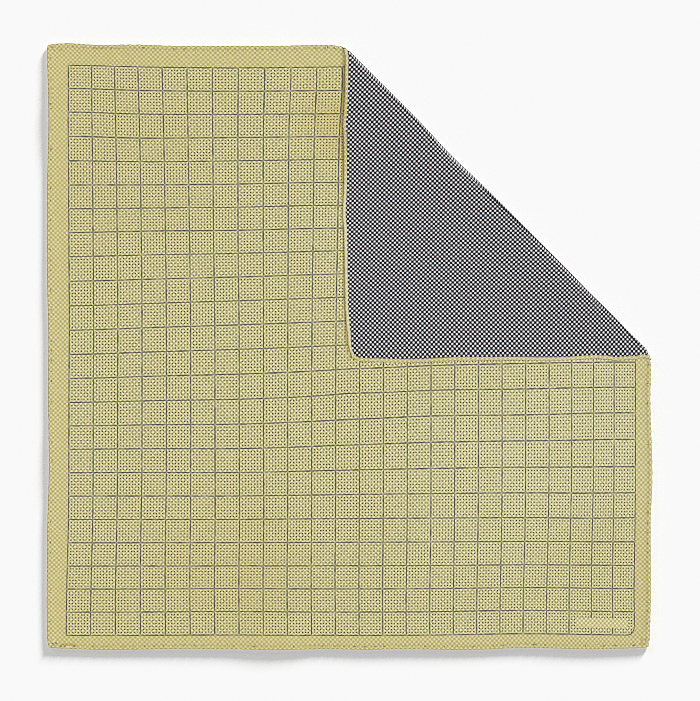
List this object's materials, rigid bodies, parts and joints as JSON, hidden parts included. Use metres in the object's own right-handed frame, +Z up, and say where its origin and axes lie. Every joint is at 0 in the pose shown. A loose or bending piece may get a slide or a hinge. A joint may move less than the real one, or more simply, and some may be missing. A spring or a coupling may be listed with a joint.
{
  "type": "folded pocket square",
  "caption": "Square of printed silk with rolled hems, lying face up with one corner folded over onto its front; a dress accessory for a breast pocket.",
  "frame": {"origin": "bottom centre of the bounding box, on the surface that the cloth lies on", "axes": "+Z up from the surface, +X to the right and +Y away, both along the cloth's edges"},
  "size_m": [0.3322, 0.3322, 0.0047],
  "materials": {
    "silk": "printed silk twill, soft sheen"
  },
  "bodies": {
    "root": {"pocket_square": "silk"}
  },
  "joints": []
}
